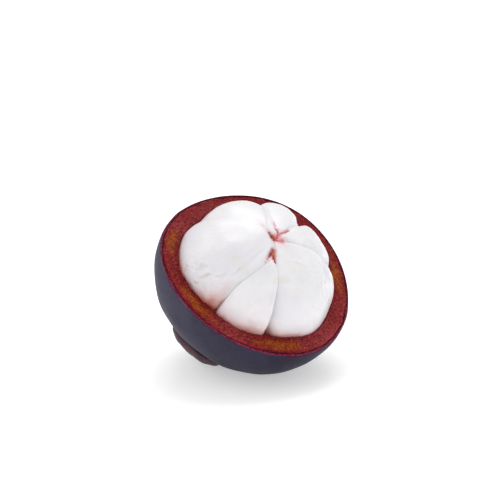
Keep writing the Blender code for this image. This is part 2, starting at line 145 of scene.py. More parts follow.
# Red marks where the flesh tore from the core: start and end in plan, width, redness, darkness and depth
CROWN_MARKS = (
    ((-0.0012, 0.0033), (-0.0010, 0.0014), 0.00048, 1.00, 0.85, 0.00035),
    ((-0.0010, 0.0020), (-0.0008, 0.0010), 0.00062, 0.90, 1.00, 0.00025),
    ((-0.0013, 0.0040), (-0.0016, 0.0064), 0.00045, 0.24, 0.00, 0.00015),
    ((-0.0016, 0.0064), (-0.0016, 0.0090), 0.00060, 0.10, 0.00, 0.00015),
    ((0.0002, 0.0008), (0.0017, 0.0022), 0.00046, 0.95, 0.10, 0.00025),
    ((0.0017, 0.0022), (0.0019, 0.0042), 0.00040, 0.90, 0.15, 0.00020),
    ((0.0019, 0.0042), (0.0033, 0.0076), 0.00036, 0.75, 0.00, 0.00012),
    ((0.0010, 0.0020), (0.0027, 0.0040), 0.00030, 0.55, 0.00, 0.00010),
    ((0.0003, 0.0008), (0.0026, 0.0021), 0.00046, 1.00, 0.20, 0.00030),
    ((0.0026, 0.0021), (0.0069, 0.0034), 0.00042, 0.92, 0.10, 0.00020),
    ((-0.0008, 0.0005), (0.0015, -0.0006), 0.00115, 1.00, 0.00, 0.00030),
    ((0.0018, -0.0002), (0.0036, -0.0007), 0.00050, 0.45, 0.00, 0.00030),
    ((-0.0032, -0.0029), (-0.0050, -0.0045), 0.00060, 1.00, 1.00, 0.00075),
    ((-0.0052, -0.0046), (-0.0064, -0.0055), 0.00042, 0.90, 0.20, 0.00035),
    ((-0.0037, -0.0046), (-0.0044, -0.0070), 0.00042, 1.00, 0.45, 0.00035),
    ((-0.0060, -0.0048), (-0.0074, -0.0061), 0.00052, 0.50, 0.00, 0.00012),
)
MARK_SINKS = 1.5  # width of a mark's hollow over that of its colour
STAR_MIDDLE = (0.0006, 0.0004)
STAR_WIDTH = 0.0025
STAR_REDNESS = 0.58
# Amber stains beside them: start and end in plan, width and strength
AMBER_MARKS = (((-0.0028, -0.0034), (-0.0038, -0.0050), 0.00075, 0.80),
               ((-0.0007, 0.0020), (0.0001, 0.0010), 0.00060, 0.60))
STREAKED = "aril_segment_4"
STREAK = ((0.0019, -0.0082), (0.0086, -0.0117), 0.00040, 0.00030)  # a raised strand: ends, width, height
# Patches with a relief of their own: azimuth and its width, height and its width
DENTED_PATCH = (318.0, 16.0, 0.0115, 0.0035)
DENT_DEPTH = 0.00022
DENT_SIZE = 0.0030
CREASED = "aril_segment_1"
CRUMPLED_PATCH = (187.0, 22.0, 0.0075, 0.0042)
CRUMPLE_DEPTH = 0.00030
CRUMPLE_SIZE = 0.0022
CRUMPLE_SLANT = 0.2
CRUMPLE_STRETCH = 0.55
# Folds low on that segment: both ends as way round from FOLD_SIDE and level, then width and height
FOLDS = (
    ((-0.0030, 0.0058), (-0.0031, 0.0088), 0.00060, 0.00034),
    ((-0.0019, 0.0076), (-0.0014, 0.0100), 0.00045, -0.00030),
    ((0.0001, 0.0078), (-0.0004, 0.0112), 0.00062, 0.00034),
    ((0.0014, 0.0066), (0.0021, 0.0094), 0.00050, -0.00026),
    ((0.0037, 0.0104), (0.0047, 0.0120), 0.00042, 0.00028),
    ((0.0044, 0.0100), (0.0054, 0.0113), 0.00042, -0.00024),
    ((-0.0002, 0.0024), (0.0012, 0.0050), 0.00060, -0.00042),
    ((-0.0044, 0.0032), (-0.0054, 0.0050), 0.00055, -0.00030),
    ((0.0082, 0.0119), (0.0086, 0.0132), 0.00038, -0.00020),
)
FOLD_SIDE = 180.0
FOLD_WAVERS = ((0.0004, 0.0034, 93), (0.0005, 0.0030, 94))  # shift, size and seed, round and upwards
FOLD_PAINTED_SHADE_WIDTH = 1.1  # width of the painted shade in a fold over the fold's own
# The segments beside the smallest one drop away from it: the seam's outer end, width and depth
SHOULDERS = {"aril_segment_1": ("left", 0.0018, 0.00035), "aril_segment_4": ("near", 0.0026, 0.00065)}
# strength of the painted shade in the hollow beside those seams
SHOULDER_PAINTED_SHADE = 0.8

# Pink blush beside the rind, partly the flesh's own tint and partly painted red glow from the rind: strength
# all round, then patches by degrees from its azimuth, width and strength. It fades upwards over a length that
# has patches too.
BLUSH_GLOW_AZIMUTH = 202.0
BLUSH_GLOW_ALL_ROUND = 0.22
BLUSH_GLOW_WIDTH = 15.0
BLUSH_GLOW_CREASED = 0.68  # on the largest segment
BLUSH_GLOW_ELSEWHERE = 0.25
BLUSH_GLOW_PATCHES = ((32.0, 15.0, 0.42), (60.0, 12.0, 0.36), (-34.0, 9.0, 0.35))
BLUSH_GLOW_FADES = 0.0011
BLUSH_GLOW_FADES_PATCHES = ((0.0, 14.0, 0.0036), (32.0, 17.0, 0.0024))
BLUSH_GLOW_RIPPLE = 0.08
BLUSH_GLOW_OUTSIDE = (0.6, 0.8)  # shares of the flesh's radius between which it comes in
# the narrow orange edge at the cut: partly the flesh's own tint, partly painted glow from the red rind
ORANGE_GLOW_EDGE = 0.8
ORANGE_GLOW_STARTS = 0.0002
ORANGE_GLOW_FADES = 0.00045

# Stem: a waisted stub, by share of its length from the calyx pole and width over its radius
STEM_RADIUS = 0.0034
STEM_LENGTH = 0.0072
STEM_FLARE = 1.14
STEM_SQUARENESS = 0.03
STEM_PROFILE = ((0.0, 1.06), (0.25, 0.97), (0.55, 0.94), (0.84, 1.08), (0.97, STEM_FLARE), (1.0, 1.06))
STEM_EDGE_ROUND = 0.12
BARK = ((0.00007, 0.35, 61, 30), (0.00009, 0.9, 62, 28))  # height, size over the radius, seed, waves
BARK_STRETCH = 0.25
STEM_DISH = 0.00035
STEM_END_GRAIN = 0.00006
STEM_END_RINGS = 22

# Calyx lobes
GAP = 0.0003
RIM_THICK = 0.0008
RIM_POWER = 3.0
FOOT_SPREAD = 0.80
FOOT_THIN = 0.55
FOOT_THICKENS = 2.0
TIP_STARTS = 0.42
TIP_POWER = 3.2
TIP_THINS_POWER = 6.0
CURL_POWER = 3.0
RIM_UNEVEN = 0.03
RIM_WAVE = 0.00012
VEIN_COUNT = 26.0
VEIN_HEIGHT = 0.00006
VEIN_ORIGIN = 0.004  # the veins fan out from this far behind the foot
SEPAL_DENT = 0.00012
SEPAL_DENT_SIZE = 0.0045
# azimuth, reach, half width, thickness, lift off the skin at the foot and at the tip, and seed
SEPALS = {
    "sepal_outer_left": (201.0, 0.0228, 0.0108, 0.0029, 0.0002, 0.0001, 41),
    "sepal_outer_right": (32.0, 0.0225, 0.0110, 0.0030, 0.0006, 0.0016, 42),
    "sepal_inner_back": (118.0, 0.0215, 0.0100, 0.0028, 0.0, 0.0010, 43),
    "sepal_inner_under": (312.0, 0.0175, 0.0078, 0.0024, 0.0, 0.0, 44),
}

# Mesh fineness
RIND_COLUMNS = 420
SKIN_RINGS = 84
FACE_RINGS = 70
POCKET_RINGS = 44
SEGMENT_COLUMNS = 288
SEGMENT_RINGS = 170
SEGMENT_RING_POWER = 0.6  # crowds the rings towards the crown
SEPAL_SIDES = 128
SEPAL_RINGS = 110
STEM_SIDES = 120
STEM_RINGS = 60

DOWN = np.array((0.0, 0.0, -1.0))


# ---- shapes in the fruit's frame

def whole_turn(columns):
    """Even azimuths round the axis, as one row."""
    return np.linspace(0.0, 2.0 * math.pi, columns, endpoint=False)[None, :]


def upright(radius, azimuth, level):
    """Points from their distance from the axis, azimuth and level."""
    axes = np.broadcast_arrays(radius * np.cos(azimuth), radius * np.sin(azimuth), level)
    return np.stack(axes, axis=-1)


def directions(azimuth, elevation):
    """Unit vectors from azimuth and elevation."""
    return upright(np.cos(elevation), azimuth, np.sin(elevation))


def ripple(points, size, seed, count=28):
    """Smooth noise, mostly from -1 to 1: the sum of many cosines along seeded directions, over its spread."""
    rng = np.random.default_rng(seed)
    ways = rng.normal(size=(count, points.shape[-1]))
    ways /= np.linalg.norm(ways, axis=1, keepdims=True)
    waves = ways * (2.0 * math.pi / size) * rng.uniform(0.55, 1.7, (count, 1))
    phases = rng.uniform(0.0, 2.0 * math.pi, count)
    total = np.zeros(points.shape[:-1])
    for wave, phase in zip(waves, phases):
        total += np.cos(points @ wave + phase)
    return total / math.sqrt(count)


def ripples(points, layers):
    """Sum of ripples, each with its height, size, seed and number of waves."""
    return sum(height * ripple(points, size, seed, count) for height, size, seed, count in layers)


def smooth_step(value, low, high):
    """0 below low, 1 above high, and the smooth cubic between."""
    share = np.clip((value - low) / (high - low), 0.0, 1.0)
    return share * share * (3.0 - 2.0 * share)


def bell(value, width, middle=0.0):
    """One at the middle and falling off as the square of the distance over the width, exponentially."""
    return np.exp(-((value - middle) / width) ** 2)


def turned_from(azimuth, middle):
    """Degrees from the middle azimuth, between -180 and 180."""
    return (np.degrees(azimuth) - middle + 180.0) % 360.0 - 180.0


def bells(value, plain, patches):
    """A plain level, plus a bell for each patch: its middle, width and height."""
    for middle, width, height in patches:
        plain = plain + height * bell(value, width, middle)
    return plain


def strongest(azimuth, patches):
    """The strongest patch at each azimuth: a bell of the degrees from its middle, times its strength."""
    most = np.zeros_like(azimuth)
    for middle, width, strength in patches:
        most = np.maximum(most, strength * bell(turned_from(azimuth, middle), width))
    return most


def lobes(azimuth):
    """Factor on the fruit's radius: one, plus a few cosines of the azimuth."""
    factor = np.ones_like(azimuth)
    for count, depth, crest in SKIN_LOBES:
        factor = factor + depth * np.cos(count * (azimuth - math.radians(crest)))
    return factor


def skin_point(azimuth, latitude, proud=0.0):
    """The lobed ellipsoid of the skin, pushed outwards along the radius by proud."""
    azimuth, latitude, proud = np.broadcast_arrays(azimuth, latitude, proud)
    ring = SKIN_RADIUS * lobes(azimuth) * np.cos(latitude)
    point = upright(ring, azimuth, POLE_RADIUS * np.sin(latitude))
    length = np.linalg.norm(point, axis=-1, keepdims=True)
    return point * (1.0 + proud[..., None] / length)


def seam_walls(segment):
    """The upright planes that bound a segment: outward normal in plan, distance from its heart, overlap."""
    heart = np.array(segment["heart"])
    walls = []
    for start, end in segment["seams"]:
        first = SEAM_ENDS[start]
        along = SEAM_ENDS[end] - first
        normal = np.array((along[1], -along[0])) / np.linalg.norm(along)
        if np.dot(heart - first, normal) > 0.0:
            normal = -normal
        walls.append((normal, np.dot(first - heart, normal), SEAM_OVERLAPS[end]))
    return walls


def bowed_distance(heart, way, normal, distance, overlap):
    """Distance of a seam wall along its normal where each ray meets it, with the bows of the seams added.

    Half the overlap is added inside where it fades. Each bow shifts the wall by its bell of the distance in
    plan. A few rounds settle where the ray meets it.
    """
    press, fade_starts, fade_stops = overlap
    towards = np.maximum(way[..., 0] * normal[0] + way[..., 1] * normal[1], 1e-3)
    bowed = np.full(towards.shape, distance)
    for _ in range(BOW_ROUNDS):
        length = np.minimum(bowed / towards, 2.0 * FLESH_RADIUS)
        met = heart[:2] + way[..., :2] * length[..., None]
        outwards = smooth_step(np.hypot(met[..., 0], met[..., 1]) / FLESH_RADIUS, fade_starts, fade_stops)
        bowed = distance + 0.5 * press * (1.0 - outwards)
        for place, spread, shift in SEAM_BOWS:
            bowed = bowed + np.dot(normal, shift) * bell(np.linalg.norm(met - place, axis=-1), spread)
    return bowed


def ball_reach(start, way, size):
    """Distance along unit vectors from a point inside the flesh ball to its surface, by the quadratic."""
    scale = 1.0 / np.array((FLESH_RADIUS * size, FLESH_RADIUS * size, FLESH_HALF_HEIGHT))
    offset = (start - FLESH_CENTRE) * scale
    slope = way * scale
    a = np.sum(slope * slope, axis=-1)
    b = np.sum(slope * offset, axis=-1)
    return (-b + np.sqrt(b * b - a * (np.dot(offset, offset) - 1.0))) / a


def segment_heart(segment):
    """The point inside a segment that its surface is reached from, level with the flesh centre."""
    return np.array((*segment["heart"], FLESH_CENTRE[2]))


def segment_reach(name, way):
    """Distance from a segment's heart to its surface: a power mean that is a soft least of ball and walls."""
    segment = SEGMENTS[name]
    heart = segment_heart(segment)
    ball = ball_reach(heart, way, segment["size"])
    outer = heart + way * ball[..., None]
    azimuth = np.arctan2(outer[..., 1], outer[..., 0])
    outwards = np.clip(np.hypot(outer[..., 0], outer[..., 1]) / FLESH_RADIUS, 0.0, 1.0)
    for place, depth, width, power in FURROWS:
        ball = ball * (1.0 - depth * outwards ** power * bell(turned_from(azimuth, place), width))
    middle, width, bulge = segment["bulge"]
    ball = ball + bulge * outwards ** 2 * bell(turned_from(azimuth, middle), width)
    walls = np.zeros_like(ball)
    for normal, distance, overlap in seam_walls(segment):
        towards = way[..., 0] * normal[0] + way[..., 1] * normal[1]
        bowed = bowed_distance(heart, way, normal, distance, overlap)
        walls = walls + (np.maximum(towards, 0.0) * ball / bowed) ** WALL_POWER
    rounding = CROWN_ROUNDING + (segment["rounding"] - CROWN_ROUNDING) * (1.0 - way[..., 2] ** 2)
    power = ball / rounding
    return ball * (1.0 + walls ** (power / WALL_POWER)) ** (-1.0 / power)


def pocket_reach(way):
    """Distance from the flesh centre to the pocket wall, where a ray leaves a rounded blend of the segments.

    Each segment is grown by the clearance, and a core fills the middle. The blend is a sum of exponentials.
    """
    steps = np.linspace(*POCKET_SEARCH, POCKET_STEPS) * FLESH_RADIUS
    point = FLESH_CENTRE + way[..., None, :] * steps[:, None]
    depth = np.clip(-way[..., 2] / POCKET_PLAIN_BELOW, 0.0, 1.0)
    core = ball_reach(FLESH_CENTRE, way, WIDEST_SEGMENT) * (POCKET_CORE + (1.0 - POCKET_CORE) * depth)
    core = core + POCKET_CLEARANCE * depth
    blend = np.exp(np.clip((core[..., None] - steps) / POCKET_SOFTNESS, -40.0, 40.0))
    for name, segment in SEGMENTS.items():
        from_heart = point - segment_heart(segment)
        length = np.linalg.norm(from_heart, axis=-1)
        outside = length - segment_reach(name, from_heart / length[..., None]) - POCKET_CLEARANCE
        blend = blend + np.exp(-np.clip(outside / POCKET_SOFTNESS, -40.0, 40.0))
    level = np.log(blend)
    last_inner = POCKET_STEPS - 1 - np.argmax(level[..., ::-1] > 0.0, axis=-1)[..., None]
    last_inner = np.minimum(last_inner, POCKET_STEPS - 2)
    inner = np.take_along_axis(level, last_inner, axis=-1)[..., 0]
    outer = np.take_along_axis(level, last_inner + 1, axis=-1)[..., 0]
    return steps[last_inner[..., 0]] + (steps[1] - steps[0]) * inner / (inner - outer)


# ---- from the fruit's frame to the part's

LEAN_TURN = np.array(Matrix.Rotation(LEAN, 3, "X"))


def lean(points):
    """Turned about X by the lean."""
    return points @ LEAN_TURN.T


def body_place():
    """Where the body centre is: centred as the part is, with the lowest skin sunk by the belly's dip.

    The skin is a fine grid up to the lip of the cut, leaned over.
    """
    azimuth = np.radians(np.linspace(0.0, 360.0, 721))[:, None]
    top = math.asin((CUT_HEIGHT - LIP) / POLE_RADIUS)
    skin = lean(skin_point(azimuth, np.linspace(-math.pi / 2.0, top, 241)[None, :])).reshape(-1, 3)
    low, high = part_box("rind")
    middle = (skin.min(axis=0) + skin.max(axis=0)) / 2.0
    return np.array(((low.x + high.x) / 2.0 - middle[0], (low.y + high.y) / 2.0 - middle[1],
                     -skin[:, 2].min() - BELLY_DIP))


PLACE = body_place()


def set_down(points):
    """Leaned over, put in place, and whatever would sink below the ground lifted onto it."""
    world = lean(points) + PLACE
    world[..., 2] = np.maximum(world[..., 2], 0.0)
    return world


# ---- meshes

def new_object(name, data):
    """An object of the scene with its mesh, light or camera."""
    item = bpy.data.objects.new(name, data)
    bpy.context.scene.collection.objects.link(item)
    return item


def closed_loft(name, rings, first_pole, last_pole, attributes):
    """A closed mesh: quads between neighbouring rings, wrapping round, and a fan to a pole at each end.

    rings is (ring, column, xyz). Each attribute has one number or vector for each ring and column; a pole
    takes the mean of the ring next to it.
    """
    count, columns = rings.shape[:2]
    points = np.concatenate([first_pole[None], rings.reshape(-1, 3), last_pole[None]])
    column = np.arange(columns)
    following = (column + 1) % columns
    low = 1 + columns * np.arange(count - 1)[:, None]
    quads = np.stack((low + column, low + following, low + columns + following, low + columns + column),
                     axis=-1).reshape(-1, 4)
    top = 1 + columns * (count - 1)
    last = len(points) - 1
    fans = np.concatenate((np.stack((np.zeros_like(column), 1 + following, 1 + column), axis=-1),
                           np.stack((top + column, top + following, np.full_like(column, last)), axis=-1)))
    mesh = bpy.data.meshes.new(name)
    mesh.from_pydata(points.tolist(), [], quads.tolist() + fans.tolist())
    for label, value in attributes.items():
        value = np.asarray(value, float)
        kind, field = ("FLOAT_VECTOR", "vector") if value.ndim == 3 else ("FLOAT", "value")
        flat = value.reshape(count * columns, -1)
        flat = np.concatenate((flat[:columns].mean(axis=0)[None], flat, flat[-columns:].mean(axis=0)[None]))
        layer = mesh.attributes.new(label, kind, "POINT")
        layer.data.foreach_set(field, flat.astype(np.float32).ravel())
    mesh.shade_smooth()
    mesh.update()
    return new_object(name, mesh)


def dress(piece, node, slot, *finishes):
    """Give a piece its finishes, and let it stand for a node of the part."""
    for finish in finishes:
        piece.data.materials.append(finish)
    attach(piece, "root")
    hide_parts(node)


def skin_rings(azimuth, waver):
    """The skin from the stem pole to the lip, with broad dents, and each ring's share of the climb."""
    below_lip = np.arcsin((CUT_HEIGHT - LIP + waver) / POLE_RADIUS)
    climb = np.linspace(0.0, 1.0, SKIN_RINGS + 1)[1:, None]
    latitude = -math.pi / 2.0 + (below_lip + math.pi / 2.0) * climb
    bare = skin_point(azimuth, latitude)
    dents = SKIN_DENT * ripple(bare, SKIN_DENT_SIZE, seed=3) * smooth_step(climb, 0.0, 0.1)
    return skin_point(azimuth, latitude, dents), climb


def face_rings(azimuth, outer, inner, waver):
    """The cut face from skin to pocket, with each ring's share of the way and its distance from the skin.

    Its level is the cut height, plus a slow waver round the fruit, minus a shallow dish, minus a quarter
    circle at each lip, minus a fine groove just inside the skin, plus a torn grain.
    """
    share = (1.0 - np.cos(np.linspace(0.0, math.pi, FACE_RINGS)))[:, None] / 2.0
    radius = outer + (inner - outer) * share
    from_skin = outer - radius
    level = CUT_HEIGHT + waver - FACE_DISH * np.sin(math.pi * share)
    for edge in (from_skin, radius - inner):
        inward = np.clip(edge / LIP, 0.0, 1.0)
        level = level - LIP * (1.0 - np.sqrt(np.clip(1.0 - (1.0 - inward) ** 2, 0.0, 1.0)))
    flat = upright(radius, azimuth, 0.0)
    wandering = from_skin + ripples(flat, GROOVE_WANDER)
    level = level - GROOVE_DEPTH * bell(wandering, GROOVE_WIDTH, GROOVE_IN)
    level = level + GRAIN_DEPTH * smooth_step(from_skin, *GRAIN_STARTS) * ripples(flat, GRAIN)
    return upright(radius, azimuth, level), share, wandering


def pocket_rings(azimuth, inner, waver):
    """The pocket's wall, from the cut face down, and the point that it ends in under the flesh."""
    mouth = np.arctan2(CUT_HEIGHT + waver - LIP - FLESH_CENTRE[2], inner)
    depth = (np.linspace(0.0, 1.0, POCKET_RINGS + 1)[1:-1, None]) ** POCKET_RING_POWER
    way = directions(azimuth, mouth + (-math.pi / 2.0 - mouth) * depth)
    wall = pocket_reach(way)
    return FLESH_CENTRE + way * wall[..., None], FLESH_CENTRE + DOWN * wall[-1].mean()


def rind_piece():
    """The rind as one closed loft: up the skin from the stem pole, over the cut face, and down the pocket.

    The pocket's edge is where its wall meets the cut: a few rounds of its reach at the angle of the last.
    """
    azimuth = whole_turn(RIND_COLUMNS)
    circle = upright(1.0, azimuth[0], 0.0)[:, :2]
    waver = CUT_WAVER * ripple(circle, CUT_WAVER_SIZE, seed=7, count=12)[None, :]
    outer = SKIN_RADIUS * lobes(azimuth) * math.cos(math.asin(CUT_HEIGHT / POLE_RADIUS))
    inner = np.full_like(azimuth, FLESH_RADIUS)
    for _ in range(EDGE_ROUNDS):
        elevation = np.arctan2(CUT_HEIGHT - FLESH_CENTRE[2], inner)
        inner = pocket_reach(directions(azimuth, elevation)) * np.cos(elevation)
    skin, climb = skin_rings(azimuth, waver)
    face, share, from_skin = face_rings(azimuth, outer, inner, waver)
    pocket, pocket_floor = pocket_rings(azimuth, inner, waver)

    def zoned(on_skin, on_face, in_pocket):
        """One value for each ring and column, from those of the three zones."""
        values = zip((on_skin, on_face, in_pocket), (skin, face, pocket))
        return np.concatenate([np.broadcast_to(value, zone.shape[:2]) for value, zone in values])

    # paler skin on the left side and up from the stem pole: partly waxy bloom, partly painted light
    bloom_and_light = bell(turned_from(azimuth, BLOOM_AND_LIGHT_AZIMUTH), BLOOM_AND_LIGHT_WIDTH)
    bloom_and_light = bloom_and_light * (BLOOM_AND_LIGHT_AT_POLE + (1.0 - BLOOM_AND_LIGHT_AT_POLE) * smooth_step(climb, *BLOOM_AND_LIGHT_CLIMB))
    across = zoned(0.0, share, 1.0)
    ochre = strongest(azimuth, OCHRE_PATCHES) * bell(across, OCHRE_WIDTH, OCHRE_MIDDLE)
    rosy = strongest(azimuth, ROSY_PATCHES) * (1.0 - ROSY_FADES * across)
    piece = closed_loft("rind_with_cut_face", set_down(np.concatenate((skin, face, pocket))),
                        set_down(DOWN * POLE_RADIUS), set_down(pocket_floor),
                        dict(bloom_and_light=zoned(bloom_and_light, 0.0, 0.0), across=across, pocket=zoned(0.0, 0.0, 1.0),
                             skin_edge=zoned(0.0, from_skin * 1000.0, FAR_FROM_SKIN_MM),
                             ochre=ochre, rosy=rosy))
    first_face = RIND_COLUMNS * (SKIN_RINGS - 1)
    second_finish = np.ones(len(piece.data.polygons), np.int32)
    second_finish[:first_face] = 0
    second_finish[-2 * RIND_COLUMNS:-RIND_COLUMNS] = 0
    piece.data.polygons.foreach_set("material_index", second_finish)
    return piece


def stroke(points, start, end):
    """Distance in plan from each point to the straight stroke between two places."""
    line = np.subtract(end, start)
    away = points[..., :2] - start
    along = np.clip(away @ line / np.dot(line, line), 0.0, 1.0)
    return np.linalg.norm(away - along[..., None] * line, axis=-1)


def patch(point, azimuth, around, width, level, spread):
    """A bell of the degrees from an azimuth times a bell of the height."""
    return bell(turned_from(azimuth, around), width) * bell(point[..., 2], spread, level)


def folded(relief, point, azimuth, turn, climb):
    """The relief with the largest segment's folds, and the painted shade in their grooves.

    One less the size of a ripple fills a crumpled patch. Each fold is a bell of the distance to a stroke on
    the unrolled side, which wavers, and is stronger and weaker by turns.
    """
    slanting = np.stack((turn + CRUMPLE_SLANT * climb, CRUMPLE_STRETCH * climb), axis=-1)
    crumple = 1.0 - np.abs(ripple(slanting, CRUMPLE_SIZE, seed=91, count=26))
    relief = relief + CRUMPLE_DEPTH * patch(point, azimuth, *CRUMPLED_PATCH) * crumple
    unrolled = np.stack((np.radians(turned_from(azimuth, FOLD_SIDE)) * FLESH_RADIUS, point[..., 2]), axis=-1)
    for axis, (shift, size, seed) in enumerate(FOLD_WAVERS):
        unrolled[..., axis] += shift * ripple(point, size, seed)
    unevenness = np.clip(0.75 + 0.45 * ripple(point, 0.0022, seed=95), 0.1, 1.4)
    painted_shade = np.zeros_like(relief)
    for start, end, width, height in FOLDS:
        away = stroke(unrolled, start, end)
        relief = relief + height * bell(away, width) * unevenness
        if height < 0.0:
            # painted shade in the grooves
            painted_shade = np.maximum(painted_shade, bell(away, FOLD_PAINTED_SHADE_WIDTH * width) * unevenness)
    return relief, painted_shade


def streaked(relief, point, azimuth):
    """The relief with the raised strand, a bell of the distance to its stroke, and the dents beside it."""
    start, end, width, height = STREAK
    relief = relief + height * bell(stroke(point, start, end), width)
    return relief + DENT_DEPTH * patch(point, azimuth, *DENTED_PATCH) * ripple(point, DENT_SIZE, seed=92)


def crown_marks(point, top_side):
    """Sink the crown's marks into the points, and give their redness, darkness and amber.

    Each mark is a bell of the distance to its stroke. A broad faint star lies round their middle.
    """
    redness = np.zeros_like(top_side)
    darkness = np.zeros_like(top_side)
    for start, end, width, red, dark, depth in CROWN_MARKS:
        away = stroke(point, start, end)
        mark = bell(away, width) * top_side
        point[..., 2] -= depth * bell(away, MARK_SINKS * width) * top_side
        redness = np.maximum(redness, red * mark)
        darkness = np.maximum(darkness, dark * mark)
    from_star = np.linalg.norm(point[..., :2] - STAR_MIDDLE, axis=-1)
    redness = np.maximum(redness, STAR_REDNESS * bell(from_star, STAR_WIDTH) * top_side)
    amber = np.zeros_like(top_side)
    for start, end, width, strength in AMBER_MARKS:
        amber = np.maximum(amber, strength * bell(stroke(point, start, end), width) * top_side)
    return redness, darkness, amber


def blush_glow_and_edge(name, point, azimuth, plan):
    """The blush and the narrow orange edge at the cut, partly the flesh's own tint and partly painted glow
    from
    the red rind: bells round the fruit that fade exponentially.
    """
    above_cut = point[..., 2] - CUT_HEIGHT
    side = turned_from(azimuth, BLUSH_GLOW_AZIMUTH)
    middle = (0.0, BLUSH_GLOW_WIDTH, BLUSH_GLOW_CREASED if name == CREASED else BLUSH_GLOW_ELSEWHERE)
    base = bells(side, BLUSH_GLOW_ALL_ROUND, (middle, *BLUSH_GLOW_PATCHES))
    fades = bells(side, BLUSH_GLOW_FADES, BLUSH_GLOW_FADES_PATCHES)
    blush_and_glow = base * np.exp(-np.maximum(above_cut, 0.0) / fades)
    blush_and_glow = blush_and_glow * (1.0 + BLUSH_GLOW_RIPPLE * ripple(point, 0.004, seed=55))
    edge = ORANGE_GLOW_EDGE * np.exp(-np.maximum(above_cut - ORANGE_GLOW_STARTS, 0.0) / ORANGE_GLOW_FADES)
    edge = edge * np.clip(base, 0.0, 1.0)
    low, high = BLUSH_GLOW_OUTSIDE
    outside = smooth_step(plan, low * FLESH_RADIUS, high * FLESH_RADIUS)
    return np.clip(blush_and_glow * outside, 0.0, 1.0), np.clip(edge * outside, 0.0, 1.0)


def flesh_piece(name, seed):
    """One segment: its reach along even directions round its heart, plus the relief of the flesh.

    The relief is broad lumps, plus fine strands that run from the base to the crown, plus what some segments
    have of their own. The segments beside the smallest one drop towards its seams, by a bell of the distance,
    and painted shade is laid in that hollow and in the largest segment's fold grooves.
    """
    segment = SEGMENTS[name]
    heart = segment_heart(segment)
    around = whole_turn(SEGMENT_COLUMNS)
    rise = (np.arange(1, SEGMENT_RINGS) / SEGMENT_RINGS) ** SEGMENT_RING_POWER
    way = directions(around, (-math.pi / 2.0 + math.pi * rise)[:, None])
    reach = segment_reach(name, way)
    point = heart + way * reach[..., None]

    azimuth = np.arctan2(point[..., 1], point[..., 0])
    plan = np.hypot(point[..., 0], point[..., 1])
    middle = math.degrees(math.atan2(heart[1], heart[0]))
    turn = np.radians(turned_from(azimuth, middle)) * FLESH_RADIUS
    climb = np.arctan2(point[..., 2] / FLESH_HALF_HEIGHT, plan / FLESH_RADIUS) * FLESH_RADIUS
    strand_place = np.stack((turn, climb * STRAND_STRETCH), axis=-1)
    off_crown = smooth_step(plan, *CROWN_EDGE)
    upper = smooth_step(way[..., 2], *RELIEF_RISES)
    relief = LUMP_HEIGHT * ripple(point, LUMP_SIZE, seed)
    for height, size, step, count in STRANDS:
        relief = relief + height * ripple(strand_place, size, seed + step, count) * off_crown * upper
    painted_shade = np.zeros_like(reach)
    if name == CREASED:
        relief, painted_shade = folded(relief, point, azimuth, turn, climb)
    if name == STREAKED:
        relief = streaked(relief, point, azimuth)
    if name in SHOULDERS:
        end, width, depth = SHOULDERS[name]
        beside = off_crown * bell(stroke(point, SEAM_ENDS["side"], SEAM_ENDS[end]), width)
        relief = relief - depth * beside
        # painted shade in the hollow beside the seam
        painted_shade = np.maximum(painted_shade, SHOULDER_PAINTED_SHADE * beside)
    point = point + way * (relief * upper)[..., None]

    redness, darkness, amber = crown_marks(point, smooth_step(way[..., 2], *TOP_SIDE))
    # blush and orange edge: partly the flesh's own tint, partly painted glow from the red rind
    blush_and_glow, edge = blush_glow_and_edge(name, point, azimuth, plan)
    fibre = np.stack((turn * 1000.0, climb * STRAND_STRETCH * 1000.0, np.zeros_like(turn)), axis=-1)
    return closed_loft(name + "_flesh", set_down(point), set_down(heart + DOWN * reach[0].mean()),
                       set_down(point[-1].mean(axis=0)),
                       dict(blush_and_glow=blush_and_glow, edge=edge, redness=redness, darkness=darkness, amber=amber,
                            painted_shade=painted_shade, fibre=fibre))


